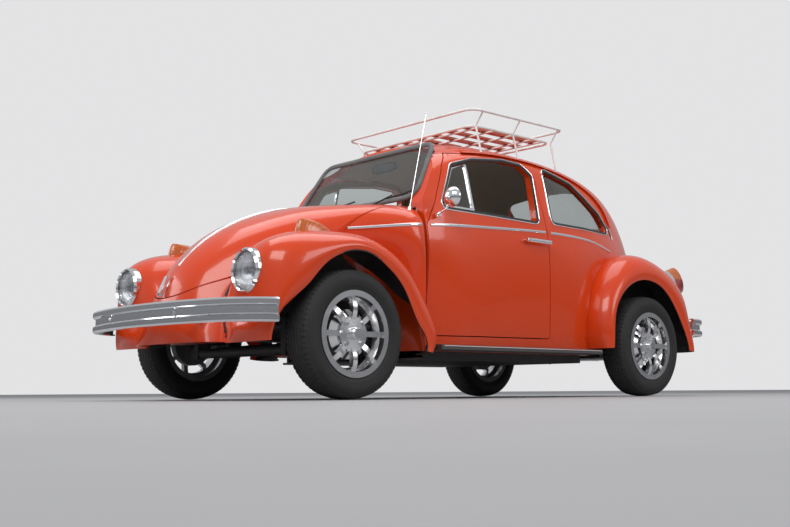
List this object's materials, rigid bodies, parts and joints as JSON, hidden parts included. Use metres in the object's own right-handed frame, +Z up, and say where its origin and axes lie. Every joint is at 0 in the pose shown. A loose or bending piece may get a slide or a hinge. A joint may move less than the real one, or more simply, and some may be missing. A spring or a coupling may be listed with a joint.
{
  "type": "rear-engine compact car",
  "caption": "Rear-engine compact car, closed two-door body with separate fenders, running boards, opening doors and lids, steered wheels and a roof rack.",
  "frame": {"origin": "on the ground, midway between the bumpers' faces on the car's middle plane", "axes": "+X to the car's left, +Y to its rear, +Z up; the front faces -Y"},
  "size_m": [1.5514, 4.03, 1.63],
  "materials": {
    "body_paint": "glossy orange-red enamel",
    "chrome": "polished chrome",
    "glass": "clear glass",
    "lamp_glass": "ribbed clear glass",
    "amber_lens": "amber moulded lens",
    "red_lens": "red and amber moulded lens",
    "tyre_rubber": "black tyre rubber",
    "alloy": "polished cast alloy",
    "black_steel": "satin black underbody paint",
    "board_rubber": "ribbed black rubber",
    "black_plastic": "black grained plastic",
    "seat_vinyl": "tan basket-weave vinyl",
    "engine_metal": "cast metal",
    "white_steel": "white painted tube",
    "wood": "varnished orange-stained slats"
  },
  "bodies": {
    "body": {"floor_pan": "black_steel", "front_axle": "black_steel", "rear_axle": "black_steel", "engine_block": "engine_metal", "exhaust": "chrome", "roof_panel": "body_paint", "side_panel_left": "body_paint", "side_panel_right": "body_paint", "rear_panel": "body_paint", "front_quarters": "body_paint", "front_apron": "body_paint", "front_fender_left": "body_paint", "front_fender_right": "body_paint", "rear_fender_left": "body_paint", "rear_fender_right": "body_paint", "running_boards": "board_rubber", "windscreen": "glass", "rear_and_quarter_glass": "glass", "front_bumper": "chrome", "rear_bumper": "chrome", "headlamp_rings": "chrome", "headlamp_lenses": "lamp_glass", "front_indicators": "amber_lens", "tail_lamps": "red_lens", "dashboard": "black_plastic", "seat_left": "seat_vinyl", "seat_right": "seat_vinyl", "rear_seat": "seat_vinyl", "roof_rack": "white_steel", "rack_slats": "wood", "rear_bulkhead": "black_plastic", "wipers": "chrome", "aerial": "chrome"},
    "door_left": {"door_left": "body_paint", "vent_frame_left": "chrome", "vent_glass_left": "glass", "door_fittings_left": "chrome"},
    "door_right": {"door_right": "body_paint", "vent_frame_right": "chrome", "vent_glass_right": "glass", "door_fittings_right": "chrome"},
    "hood": {"hood": "body_paint", "hood_handle": "chrome"},
    "engine_lid": {"engine_lid": "body_paint"},
    "knuckle_left": {"knuckle_left": "black_steel"},
    "knuckle_right": {"knuckle_right": "black_steel"},
    "tie_rod": {"tie_rod": "black_steel"},
    "steering_wheel": {"steering_wheel": "black_plastic"},
    "wheel_front_left": {"tyre_front_left": "tyre_rubber", "rim_front_left": "alloy"},
    "wheel_front_right": {"tyre_front_right": "tyre_rubber", "rim_front_right": "alloy"},
    "wheel_rear_left": {"tyre_rear_left": "tyre_rubber", "rim_rear_left": "alloy"},
    "wheel_rear_right": {"tyre_rear_right": "tyre_rubber", "rim_rear_right": "alloy"}
  },
  "joints": [
    {"name": "steering_wheel_turn", "type": "hinge", "parent": "body", "child": "steering_wheel", "pos_m": [0.33, -0.345, 0.905], "axis": [0, 0.8211, 0.5708], "range_deg": [-448, 448]},
    {"name": "steer_left", "type": "hinge", "parent": "body", "child": "knuckle_left", "pos_m": [0.505, -1.27, 0.308], "axis": [0, 0, 1], "range_deg": [-28, 28]},
    {"name": "steer_right", "type": "hinge", "parent": "body", "child": "knuckle_right", "pos_m": [-0.505, -1.27, 0.308], "axis": [0, 0, 1], "range_deg": [-28, 28]},
    {"name": "tie_rod_slide", "type": "slide", "parent": "body", "child": "tie_rod", "axis": [1, 0, 0], "range_m": [-0.048, 0.048]},
    {"name": "wheel_front_left_spin", "type": "hinge", "parent": "knuckle_left", "child": "wheel_front_left", "pos_m": [0.68, -1.27, 0.308], "axis": [1, 0, 0], "continuous": true},
    {"name": "wheel_front_right_spin", "type": "hinge", "parent": "knuckle_right", "child": "wheel_front_right", "pos_m": [-0.68, -1.27, 0.308], "axis": [1, 0, 0], "continuous": true},
    {"name": "wheel_rear_left_spin", "type": "hinge", "parent": "body", "child": "wheel_rear_left", "pos_m": [0.68, 1.13, 0.308], "axis": [1, 0, 0], "continuous": true},
    {"name": "wheel_rear_right_spin", "type": "hinge", "parent": "body", "child": "wheel_rear_right", "pos_m": [-0.68, 1.13, 0.308], "axis": [1, 0, 0], "continuous": true},
    {"name": "door_left_hinge", "type": "hinge", "parent": "body", "child": "door_left", "pos_m": [0.655, -0.676, 0.6], "axis": [0, 0, -1], "range_deg": [0, 65]},
    {"name": "door_right_hinge", "type": "hinge", "parent": "body", "child": "door_right", "pos_m": [-0.655, -0.676, 0.6], "axis": [0, 0, 1], "range_deg": [0, 65]},
    {"name": "hood_hinge", "type": "hinge", "parent": "body", "child": "hood", "pos_m": [0, -0.722, 1.048], "axis": [-1, 0, 0], "range_deg": [0, 60]},
    {"name": "engine_lid_hinge", "type": "hinge", "parent": "body", "child": "engine_lid", "pos_m": [0, 1.578, 0.978], "axis": [1, 0, 0], "range_deg": [0, 70]}
  ],
  "couplings": [
    {"joint": "steer_left", "follows": "steering_wheel_turn", "ratio": 0.0625},
    {"joint": "steer_right", "follows": "steering_wheel_turn", "ratio": 0.0625},
    {"joint": "tie_rod_slide", "follows": "steering_wheel_turn", "m_per_rad": -0.005764}
  ]
}
